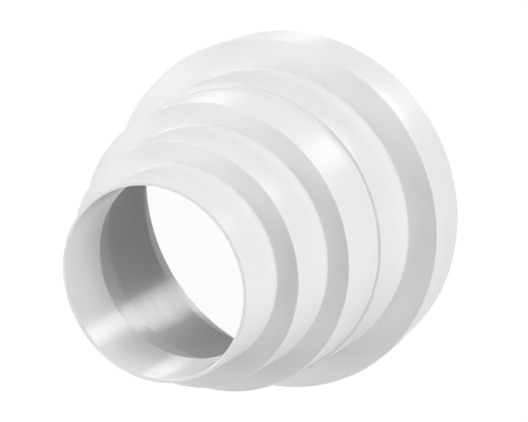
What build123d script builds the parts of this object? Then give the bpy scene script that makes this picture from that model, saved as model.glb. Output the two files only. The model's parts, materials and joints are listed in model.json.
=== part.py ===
"""Stepped duct reducer: one moulded piece with five round spigots on one axis.

Each spigot takes one size of round duct: 80, 100, 120, 125 and 150 mm. Flat ring shoulders join
them, and the air way inside steps along with the outside. Units are millimetres. +Z runs along
the axis from the large open end, on which the piece stands, to the small open end, and the
origin is the centre of the large rim.
"""

import os

from build123d import *

# Duct sizes, from the small end down: the first diameter, then the step up to each next one
small_duct_diameter = 80.0
second_duct_step = 20.0
third_duct_step = 20.0
fourth_duct_step = 5.0
fifth_duct_step = 25.0

# Length of each spigot, from its tip to the shoulder that carries it
small_spigot_length = 24.0
second_spigot_length = 24.5
third_spigot_length = 26.0
fourth_spigot_length = 26.0
fifth_spigot_length = 26.0

# A duct starts easily over the tapered tip and grips on the short straight seat at the root
seat_oversize = 0.3
seat_length = 6.0
tip_taper = 0.9

# Walls: thickness at each tip, thickness of the shoulders, and how much the wider bores open downwards
tip_wall = 1.5
shoulder_wall = 1.8
bore_draft = 0.15

# Broken edges: at the open tips, at the rim of each shoulder, in the corner at each root, and inside
tip_bevel = 0.35
shoulder_bevel = 0.35
root_cove = 0.3
inside_bevel = 0.2

# The part of a face that the broken edges at its two ends may use together
bevel_share = 0.9

duct_steps = [second_duct_step, third_duct_step, fourth_duct_step, fifth_duct_step]
duct_diameters = [small_duct_diameter + sum(duct_steps[:count]) for count in range(len(duct_steps) + 1)]
spigot_lengths = [
    small_spigot_length,
    second_spigot_length,
    third_spigot_length,
    fourth_spigot_length,
    fifth_spigot_length,
]

# Radius of each spigot at its seat, at its tip and inside the tip
seat_radii = [diameter / 2 + seat_oversize for diameter in duct_diameters]
tip_radii = [radius - tip_taper for radius in seat_radii]
bore_radii = [radius - tip_wall for radius in tip_radii]

# Height of the face at the upper end of each spigot, and of the foot of the last one
heights = [sum(spigot_lengths[level:]) for level in range(len(spigot_lengths) + 1)]


def hanging_spigot_outline(level):
    """Outside of a spigot that tapers towards the small end: tip, start of the seat, root."""
    foot = heights[level + 1]
    return [
        (tip_radii[level], heights[level]),
        (seat_radii[level], foot + seat_length),
        (seat_radii[level], foot),
    ]


def large_spigot_outline(level):
    """Outside of the last spigot, which tapers the other way, towards the large open end."""
    top = heights[level]
    return [
        (seat_radii[level], top),
        (seat_radii[level], top - seat_length),
        (tip_radii[level], heights[level + 1]),
    ]


def bore_outline(level):
    """Inside of a spigot from its lower end up: straight in the small one, and in the wider ones
    a bore that opens a little towards the large end."""
    ceiling = heights[level] - (shoulder_wall if level else 0)
    floor = heights[level + 1] - (shoulder_wall if level < large_level else 0)
    draft = bore_draft if level else 0
    return [(bore_radii[level] + draft, floor), (bore_radii[level], ceiling)]


large_level = len(spigot_lengths) - 1
tapered_levels = range(large_level)

outside = [hanging_spigot_outline(level) for level in tapered_levels] + [large_spigot_outline(large_level)]
inside = [bore_outline(level) for level in range(large_level + 1)]

# Corners of the section by how they are broken
tip_corners = [outside[0][0], outside[-1][-1], inside[0][-1], inside[-1][0]]
root_corners = [outline[-1] for outline in outside[:-1]]
shoulder_corners = [outline[0] for outline in outside[1:]]
inside_corners = [outline[0] for outline in inside[:-1]] + [outline[-1] for outline in inside[1:]]

# Width of the narrowest shoulder, outside and inside, which limits the bevels on it
shoulder_width = min(edge[0] - root[0] for root, edge in zip(root_corners, shoulder_corners))
ledge_width = min(lower[-1][0] - upper[0][0] for upper, lower in zip(inside, inside[1:]))


def limited(bevel, face_width):
    """A bevel that leaves room for the one at the other end of its face."""
    return min(bevel, face_width * bevel_share / 2)


with BuildPart() as duct_reducer:
    with BuildSketch(Plane.XZ) as section:
        with BuildLine():
            outline_points = [point for outline in outside for point in outline]
            bore_points = [point for outline in reversed(inside) for point in outline]
            Polyline(*outline_points, *bore_points, close=True)
        make_face()
        for corners, bevel in (
            (tip_corners, limited(tip_bevel, tip_wall - bore_draft)),
            (root_corners, limited(root_cove, shoulder_width)),
            (shoulder_corners, limited(shoulder_bevel, shoulder_width)),
            (inside_corners, limited(inside_bevel, ledge_width)),
        ):
            chamfer([section.vertices().sort_by_distance(corner)[0] for corner in corners], length=bevel)
    revolve(axis=Axis.Z)

duct_reducer.part.label = "duct_reducer"
os.makedirs("parts", exist_ok=True)
export_step(duct_reducer.part, "parts/duct_reducer.step")
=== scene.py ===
"""Looks of the stepped duct reducer: a smooth white moulding that stands on its large end."""

import json
import math

import bpy
import numpy as np
from mathutils import Matrix, Vector


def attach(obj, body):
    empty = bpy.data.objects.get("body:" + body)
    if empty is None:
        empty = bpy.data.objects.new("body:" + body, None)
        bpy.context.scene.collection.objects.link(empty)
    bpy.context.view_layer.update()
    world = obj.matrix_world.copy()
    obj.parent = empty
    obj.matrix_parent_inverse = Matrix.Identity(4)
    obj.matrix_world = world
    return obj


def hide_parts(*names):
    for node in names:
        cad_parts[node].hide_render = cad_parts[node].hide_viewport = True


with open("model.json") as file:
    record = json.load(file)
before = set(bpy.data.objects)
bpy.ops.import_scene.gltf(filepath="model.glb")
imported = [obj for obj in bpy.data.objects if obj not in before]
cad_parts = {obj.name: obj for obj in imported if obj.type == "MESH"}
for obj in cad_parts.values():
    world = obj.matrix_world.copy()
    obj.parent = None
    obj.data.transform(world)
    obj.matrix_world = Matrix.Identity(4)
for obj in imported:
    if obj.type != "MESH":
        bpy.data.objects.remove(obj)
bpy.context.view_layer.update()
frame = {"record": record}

MM = 0.001
WHITE = (1.0, 1.0, 1.0, 1.0)

# Spigots from the small end down: the record's mount gives the seat's radius, the lengths follow
SPIGOT_MOUNTS = ("spigot_80", "spigot_100", "spigot_120", "spigot_125", "spigot_150")
SPIGOT_LENGTHS = (24.0 * MM, 24.5 * MM, 26.0 * MM, 26.0 * MM, 26.0 * MM)

# The moulded wall
SEAT_LENGTH = 6.0 * MM
TIP_TAPER = 0.9 * MM
TIP_WALL = 1.5 * MM
SHOULDER_WALL = 1.8 * MM
BORE_DRAFT = 0.15 * MM

# Rounds on the edges of the section
TIP_ROUND = 0.35 * MM
SHOULDER_ROUND = 0.35 * MM
ROOT_ROUND = 0.3 * MM
INSIDE_ROUND = 0.2 * MM

# Mesh density: steps round the axis, points on each round, longest step along a straight run, and
# the gap from a round to the support point beside it
STEPS_AROUND = 360
ARC_POINTS = 5
LONGEST_STEP = 2.0 * MM
SUPPORT_GAP = 0.12 * MM

# Camera, placed as the photograph was taken: the focal length in pixels of a 528 wide frame
FRAME_WIDTH = 528
FOCAL_PIXELS = 2000.0
SENSOR_WIDTH = 36.0
CAMERA_SPOT = Vector((0.0, -420.75 * MM, 750.69 * MM))
CAMERA_AIM = Vector((3.182 * MM, 15.815 * MM, 0.0))
CAMERA_ROLL = math.radians(119.586)
NEAREST_SEEN = 0.01
FARTHEST_SEEN = 50.0

# Plastic: one shade, with a satin finish outside and a glossier one in the bore. Shade and gloss
# drift a little over the skin, and the worn rims are greyer and duller.
PLASTIC_DARK = (0.730, 0.730, 0.728, 1.0)
PLASTIC_LIGHT = (0.750, 0.750, 0.749, 1.0)
PLASTIC_WORN = (0.690, 0.688, 0.683, 1.0)
PLASTIC_IOR = 1.5
GLOSS_DRIFT = 0.04
WORN_ROUGHNESS = 0.12
WEAR_SHARE = 0.5

# The two finishes: roughness, shine, and how far the roughness varies from ring to ring
OUTER_ROUGHNESS = 0.26
OUTER_SHINE = 0.05
OUTER_RINGS = 0.03
BORE_ROUGHNESS = 0.22
BORE_SHINE = 0.30
BORE_RINGS = 0.24

# Size of the marks on the skin, in repeats per metre, their depth, and the layers of finer marks
SHADE_SCALE = 35.0
GLOSS_SCALE = 90.0
WEAR_SCALE = 350.0
PATCH_DETAIL = 3.0
WAVE_SCALE = 24.0
WAVE_DEPTH = 0.05 * MM
WAVE_DETAIL = 1.0
RING_SCALE = 1500.0
RING_DEPTH = 0.002 * MM
RING_GLOSS_SCALE = 300.0
GRAIN_SCALE = 1300.0
GRAIN_DEPTH = 0.004 * MM
FINE_DETAIL = 2.0

# Places of the colour sockets on a Mix node, which has others for numbers and vectors
MIX_COLOURS = slice(6, 8)
MIX_RESULT = 2

# Floor: nearly white by itself to the camera, with a little of the lamps' light and shade on top,
# and a mid grey for the light that it throws back at the part
FLOOR_RADIUS = 4.0
FLOOR_STEPS = 64
FLOOR_GAP = 0.05 * MM
FLOOR_GLOW = 0.955
FLOOR_SHADE = (0.08, 0.08, 0.08, 1.0)
FLOOR_BOUNCE = (0.30, 0.30, 0.30, 1.0)

# Oval soft lamps on a ball about the part: azimuth from the camera's side towards +X, elevation,
# width, height and power
LAMP_CENTRE = Vector((0.0, 0.0, 60.0 * MM))
LAMP_DISTANCE = 1.2
LAMPS = (
    ("right_lamp", 115.0, 38.0, 0.60, 0.60, 6.1),
    ("front_lamp", -7.0, 21.0, 0.60, 0.60, 5.6),
    ("front_right_lamp", 30.0, 38.0, 0.60, 0.60, 3.3),
    ("front_low_lamp", -11.0, -6.0, 0.48, 0.24, 3.7),
    ("left_lamp", -60.0, 28.0, 0.60, 0.60, 3.4),
    ("left_back_lamp", -97.0, 9.0, 0.60, 0.50, 4.0),
    ("back_lamp", 152.0, 34.0, 0.60, 0.60, 6.0),
    ("back_left_lamp", -160.0, 16.0, 0.60, 0.60, 6.2),
    ("right_low_lamp", 80.0, 10.0, 0.50, 0.50, 3.6),
)

# Lamps under the pale floor shine up through it, as on a light table: one fills the bore with soft
# light and makes no highlight, and the small ones show only as highlights
FILL_LAMPS = (
    ("under_side_lamp", 58.0, -55.0, 0.50, 0.50, 3.5),
)
SHINE_LAMPS = (
    ("under_front_lamp", 20.0, -59.0, 0.36, 0.18, 2.15),
    ("under_tip_lamp", 16.0, -50.4, 0.28, 0.10, 0.45),
    ("under_right_lamp", 107.0, -54.8, 0.38, 0.10, 0.35),
    ("under_right_low_lamp", 107.0, -64.3, 0.28, 0.12, 0.14),
    ("under_soft_lamp", 40.0, -61.0, 0.30, 0.24, 0.20),
)


def spigot_corners():
    """Corners of the wall's section as (radius, height, round), down the outside and up the inside,
    and the side of each corner, 0 outside and 1 in the bore.

    A spigot's tip is narrower than its seat by the taper, and the bore follows the tip at the wall's
    thickness. The last spigot tapers the other way, towards the large open end."""
    mounts = {mount["name"]: mount for mount in frame["record"]["mounts"]}
    seats = [mounts[name]["dims"]["r_mm"] * MM for name in SPIGOT_MOUNTS]
    heights = [sum(SPIGOT_LENGTHS[level:]) for level in range(len(SPIGOT_LENGTHS) + 1)]
    last = len(seats) - 1
    outside, inside = [], []
    for level, seat in enumerate(seats):
        top, foot = heights[level], heights[level + 1]
        tip = seat - TIP_TAPER
        bore = tip - TIP_WALL
        if level < last:
            edge = SHOULDER_ROUND if level else TIP_ROUND
            outside += [(tip, top, edge), (seat, foot + SEAT_LENGTH, 0.0), (seat, foot, ROOT_ROUND)]
        else:
            seat_end = (seat, top - SEAT_LENGTH, 0.0)
            outside += [(seat, top, SHOULDER_ROUND), seat_end, (tip, foot, TIP_ROUND)]
        ceiling = top - (SHOULDER_WALL if level else 0.0)
        floor = foot - (SHOULDER_WALL if level < last else 0.0)
        upper_round = INSIDE_ROUND if level else TIP_ROUND
        lower_round = INSIDE_ROUND if level < last else TIP_ROUND
        draft = BORE_DRAFT if level else 0.0
        inside = [(bore + draft, floor, lower_round), (bore, ceiling, upper_round)] + inside
    return outside + inside, np.repeat((0, 1), (len(outside), len(inside)))


def rounded_section(corners, sides):
    """Closed section with an arc at each corner and support points beside it, as an (n, 2) array, with
    two marks on each point: wear is 1 on the rounded outer edges, and side is 1 in the bore.

    An arc of radius r starts and ends r / tan(half the corner's angle) along the two edges, and its
    centre lies on the bisector. Straight runs are divided into equal steps. A corner is an outer edge
    if its two edges turn towards the wall, which the sign of their cross product tells."""
    points = np.array([corner[:2] for corner in corners])
    radii = np.array([corner[2] for corner in corners])
    before = np.roll(points, 1, axis=0) - points
    after = np.roll(points, -1, axis=0) - points
    before /= np.linalg.norm(before, axis=1)[:, None]
    after /= np.linalg.norm(after, axis=1)[:, None]
    half = np.arccos(np.clip((before * after).sum(1), -1.0, 1.0)) / 2
    reach = radii / np.tan(half)
    middle = before + after
    middle /= np.linalg.norm(middle, axis=1)[:, None]
    centres = points + middle * (radii / np.sin(half))[:, None]
    outer_edge = before[:, 0] * after[:, 1] - before[:, 1] * after[:, 0] > 0
    section, wear, side = [], [], []
    for i in range(len(points)):
        if radii[i] > 0:
            start = points[i] + before[i] * reach[i]
            end = points[i] + after[i] * reach[i]
            share = np.linspace(0.0, 1.0, ARC_POINTS)[:, None]
            spokes = (start - centres[i]) * (1 - share) + (end - centres[i]) * share
            spokes *= radii[i] / np.linalg.norm(spokes, axis=1)[:, None]
            support_before = start + before[i] * SUPPORT_GAP
            support_after = end + after[i] * SUPPORT_GAP
            section += [support_before[None], centres[i] + spokes, support_after[None]]
            wear += [np.zeros(1), np.full(ARC_POINTS, float(outer_edge[i])), np.zeros(1)]
            side.append(np.full(ARC_POINTS + 2, sides[i]))
        else:
            section.append(points[i][None])
            wear.append(np.zeros(1))
            side.append(np.full(1, sides[i]))
        following = (i + 1) % len(points)
        support = SUPPORT_GAP if radii[following] > 0 else 0.0
        run_start = section[-1][-1]
        run_end = points[following] + before[following] * (reach[following] + support)
        length = np.linalg.norm(run_end - run_start)
        steps = max(int(length / LONGEST_STEP), 1)
        share = np.linspace(0.0, 1.0, steps + 1)[1:-1, None]
        section.append(run_start + (run_end - run_start) * share)
        wear.append(np.zeros(steps - 1))
        side.append(np.full(steps - 1, sides[i]))
    return np.concatenate(section), np.concatenate(wear), np.concatenate(side)


def turned_mesh(name, section, wear, side):
    """Mesh of a closed section carried round the Z axis, with the wear of its points as an attribute and
    the side of each face as its material.

    The point at angle a and section place (r, z) is (r cos a, r sin a, z). Both directions close on
    themselves, so the surface has no seam and no pole."""
    angles = np.linspace(0.0, 2 * math.pi, STEPS_AROUND, endpoint=False)
    count = len(section)
    grid = np.empty((STEPS_AROUND, count, 3))
    grid[..., 0] = np.cos(angles)[:, None] * section[:, 0]
    grid[..., 1] = np.sin(angles)[:, None] * section[:, 0]
    grid[..., 2] = section[:, 1]
    number = np.arange(STEPS_AROUND * count).reshape(STEPS_AROUND, count)
    across = np.roll(number, -1, axis=0)
    quads = np.stack([number, np.roll(number, -1, axis=1), np.roll(across, -1, axis=1), across], -1)
    mesh = bpy.data.meshes.new(name)
    mesh.from_pydata(grid.reshape(-1, 3), [], quads.reshape(-1, 4).tolist())
    mesh.polygons.foreach_set("use_smooth", np.ones(len(mesh.polygons), bool))
    mesh.polygons.foreach_set("material_index", np.tile(side, STEPS_AROUND))
    attribute = mesh.attributes.new("edge_wear", "FLOAT", "POINT")
    attribute.data.foreach_set("value", np.tile(wear, STEPS_AROUND).astype(np.float32))
    mesh.update()
    return mesh


def new_material(name):
    """A new material, its node tree and its Principled shader."""
    material = bpy.data.materials.new(name)
    material.use_nodes = True
    tree = material.node_tree
    return material, tree, tree.nodes["Principled BSDF"]


def noise(tree, place, scale, detail):
    """Soft noise at a place, with its scale in repeats per metre."""
    node = tree.nodes.new("ShaderNodeTexNoise")
    node.inputs["Scale"].default_value = scale
    node.inputs["Detail"].default_value = detail
    tree.links.new(place, node.inputs["Vector"])
    return node.outputs["Fac"]


def math_node(tree, operation, first, second):
    """One operation on two sockets, or on a socket and a number."""
    node = tree.nodes.new("ShaderNodeMath")
    node.operation = operation
    tree.links.new(first, node.inputs[0])
    if isinstance(second, float):
        node.inputs[1].default_value = second
    else:
        tree.links.new(second, node.inputs[1])
    return node.outputs["Value"]


def mark(tree, name):
    """A mark that the mesh carries on its points."""
    node = tree.nodes.new("ShaderNodeAttribute")
    node.attribute_name = name
    return node.outputs["Fac"]


def blend(tree, share, first, second):
    """Colour between two others, each a socket or a fixed colour."""
    node = tree.nodes.new("ShaderNodeMix")
    node.data_type = "RGBA"
    tree.links.new(share, node.inputs["Factor"])
    for socket, colour in zip(node.inputs[MIX_COLOURS], (first, second)):
        if isinstance(colour, tuple):
            socket.default_value = colour
        else:
            tree.links.new(colour, socket)
    return node.outputs[MIX_RESULT]


def marked(tree, height, depth, under=None):
    """Normal of a skin with marks of this depth, on top of the marks under it."""
    node = tree.nodes.new("ShaderNodeBump")
    node.inputs["Strength"].default_value = 1.0
    node.inputs["Distance"].default_value = depth
    tree.links.new(height, node.inputs["Height"])
    if under is not None:
        tree.links.new(under, node.inputs["Normal"])
    return node.outputs["Normal"]


def place_on_ring(tree, place):
    """Radius and height of a place, which are the same all round the axis.

    The radius is the square root of x squared plus y squared."""
    parts = tree.nodes.new("ShaderNodeSeparateXYZ")
    tree.links.new(place, parts.inputs["Vector"])
    x_squared = math_node(tree, "MULTIPLY", parts.outputs["X"], parts.outputs["X"])
    y_squared = math_node(tree, "MULTIPLY", parts.outputs["Y"], parts.outputs["Y"])
    radius = math_node(tree, "POWER", math_node(tree, "ADD", x_squared, y_squared), 0.5)
    ring = tree.nodes.new("ShaderNodeCombineXYZ")
    tree.links.new(radius, ring.inputs["X"])
    tree.links.new(parts.outputs["Z"], ring.inputs["Z"])
    return ring.outputs["Vector"]


def white_plastic(name, roughness, shine, rings):
    """White moulded plastic with a semi-gloss skin of this roughness, shine and rings in the gloss.

    Fine rings from the turned mould are noise over radius and height. A fine grain, a slow waviness
    and the drift of shade and gloss are noise over the place. The rims are a little scuffed, in
    patches: there the shade is greyer and the gloss duller."""
    material, tree, shader = new_material(name)
    place = tree.nodes.new("ShaderNodeTexCoord").outputs["Object"]
    ring = place_on_ring(tree, place)

    patches = noise(tree, place, WEAR_SCALE, PATCH_DETAIL)
    worn_patches = math_node(tree, "MULTIPLY", mark(tree, "edge_wear"), patches)
    scuff = math_node(tree, "MULTIPLY", worn_patches, WEAR_SHARE)

    shade = blend(tree, noise(tree, place, SHADE_SCALE, PATCH_DETAIL), PLASTIC_DARK, PLASTIC_LIGHT)
    tree.links.new(blend(tree, scuff, shade, PLASTIC_WORN), shader.inputs["Base Color"])

    drift = math_node(tree, "MULTIPLY", noise(tree, place, GLOSS_SCALE, PATCH_DETAIL), GLOSS_DRIFT)
    dull = math_node(tree, "MULTIPLY", scuff, WORN_ROUGHNESS)
    ring_drift = math_node(tree, "MULTIPLY", noise(tree, ring, RING_GLOSS_SCALE, FINE_DETAIL), rings)
    change = math_node(tree, "ADD", math_node(tree, "ADD", drift, dull), ring_drift)
    lowest = roughness - (GLOSS_DRIFT + rings) / 2
    tree.links.new(math_node(tree, "ADD", change, lowest), shader.inputs["Roughness"])

    skin = marked(tree, noise(tree, place, WAVE_SCALE, WAVE_DETAIL), WAVE_DEPTH)
    skin = marked(tree, noise(tree, ring, RING_SCALE, FINE_DETAIL), RING_DEPTH, skin)
    skin = marked(tree, noise(tree, place, GRAIN_SCALE, FINE_DETAIL), GRAIN_DEPTH, skin)
    tree.links.new(skin, shader.inputs["Normal"])

    shader.inputs["IOR"].default_value = PLASTIC_IOR
    shader.inputs["Specular IOR Level"].default_value = shine
    return material


def white_ray(tree):
    """1 for what the camera sees, straight or in a reflection or through glass, else 0."""
    path = tree.nodes.new("ShaderNodeLightPath")
    seen = math_node(tree, "MAXIMUM", path.outputs["Is Camera Ray"], path.outputs["Is Glossy Ray"])
    return math_node(tree, "MAXIMUM", seen, path.outputs["Is Transmission Ray"])


def white_floor():
    """Pale floor that looks nearly white, keeps a soft shadow and throws a little light back."""
    material, tree, shader = new_material("pale_floor")
    tree.nodes.remove(shader)
    glow = tree.nodes.new("ShaderNodeEmission")
    glow.inputs["Strength"].default_value = FLOOR_GLOW
    shade = tree.nodes.new("ShaderNodeBsdfDiffuse")
    shade.inputs["Color"].default_value = FLOOR_SHADE
    bounce = tree.nodes.new("ShaderNodeBsdfDiffuse")
    bounce.inputs["Color"].default_value = FLOOR_BOUNCE
    seen = tree.nodes.new("ShaderNodeAddShader")
    tree.links.new(glow.outputs["Emission"], seen.inputs[0])
    tree.links.new(shade.outputs["BSDF"], seen.inputs[1])
    either = tree.nodes.new("ShaderNodeMixShader")
    tree.links.new(white_ray(tree), either.inputs["Fac"])
    tree.links.new(bounce.outputs["BSDF"], either.inputs[1])
    tree.links.new(seen.outputs["Shader"], either.inputs[2])
    tree.links.new(either.outputs["Shader"], tree.nodes["Material Output"].inputs["Surface"])
    return material


def build_reducer():
    """The moulding itself, in place of the CAD solid and of the same form."""
    mesh = turned_mesh("reducer_moulding", *rounded_section(*spigot_corners()))
    piece = bpy.data.objects.new("reducer_moulding", mesh)
    bpy.context.scene.collection.objects.link(piece)
    outer_finish = white_plastic("satin_white_plastic", OUTER_ROUGHNESS, OUTER_SHINE, OUTER_RINGS)
    bore_finish = white_plastic("glossy_white_plastic", BORE_ROUGHNESS, BORE_SHINE, BORE_RINGS)
    mesh.materials.append(outer_finish)
    mesh.materials.append(bore_finish)
    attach(piece, "root")
    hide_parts("duct_reducer")


def build_floor():
    """Round floor just under the large rim. The lamps under it shine through, and reflections look
    past it to the white surroundings."""
    angles = np.linspace(0.0, 2 * math.pi, FLOOR_STEPS, endpoint=False)
    rim = np.stack([np.cos(angles), np.sin(angles), np.zeros_like(angles)], 1) * FLOOR_RADIUS
    rim[:, 2] = -FLOOR_GAP
    mesh = bpy.data.meshes.new("floor")
    mesh.from_pydata(rim.tolist(), [], [list(range(len(rim)))])
    mesh.materials.append(white_floor())
    floor = bpy.data.objects.new("floor", mesh)
    bpy.context.scene.collection.objects.link(floor)
    floor.visible_shadow = False
    floor.visible_glossy = False


def build_camera():
    """Camera that looks down at the part, turned about its own line of sight as in the photograph."""
    data = bpy.data.cameras.new("camera")
    data.sensor_width = SENSOR_WIDTH
    data.lens = FOCAL_PIXELS * SENSOR_WIDTH / FRAME_WIDTH
    data.clip_start = NEAREST_SEEN
    data.clip_end = FARTHEST_SEEN
    camera = bpy.data.objects.new("camera", data)
    bpy.context.scene.collection.objects.link(camera)
    sight = CAMERA_AIM - CAMERA_SPOT
    level = sight.to_track_quat("-Z", "Y").to_matrix().to_4x4()
    camera.matrix_world = Matrix.Translation(CAMERA_SPOT) @ level @ Matrix.Rotation(-CAMERA_ROLL, 4, "Z")
    bpy.context.scene.camera = camera


def build_lamps(lamps, fills, shines):
    """Oval soft lamps that face the part. They may fill it with light, show as highlights, or both."""
    for name, azimuth, elevation, width, height, power in lamps:
        around = math.radians(azimuth)
        up = math.radians(elevation)
        level = math.cos(up)
        outward = Vector((math.sin(around) * level, -math.cos(around) * level, math.sin(up)))
        data = bpy.data.lights.new(name, "AREA")
        data.shape = "ELLIPSE"
        data.size = width
        data.size_y = height
        data.energy = power
        lamp = bpy.data.objects.new(name, data)
        bpy.context.scene.collection.objects.link(lamp)
        turn = outward.to_track_quat("Z", "Y").to_matrix().to_4x4()
        lamp.matrix_world = Matrix.Translation(LAMP_CENTRE + outward * LAMP_DISTANCE) @ turn
        lamp.visible_camera = False
        lamp.visible_diffuse = fills
        lamp.visible_glossy = shines


def build_world():
    """White surroundings for the camera and in reflections, which throw no other light."""
    world = bpy.data.worlds.new("studio")
    bpy.context.scene.world = world
    world.use_nodes = True
    tree = world.node_tree
    surround = tree.nodes["Background"]
    surround.inputs["Color"].default_value = WHITE
    tree.links.new(white_ray(tree), surround.inputs["Strength"])


build_reducer()
build_floor()
build_camera()
build_lamps(LAMPS, fills=True, shines=True)
build_lamps(FILL_LAMPS, fills=True, shines=False)
build_lamps(SHINE_LAMPS, fills=False, shines=True)
build_world()
bpy.context.scene.view_settings.view_transform = "Standard"
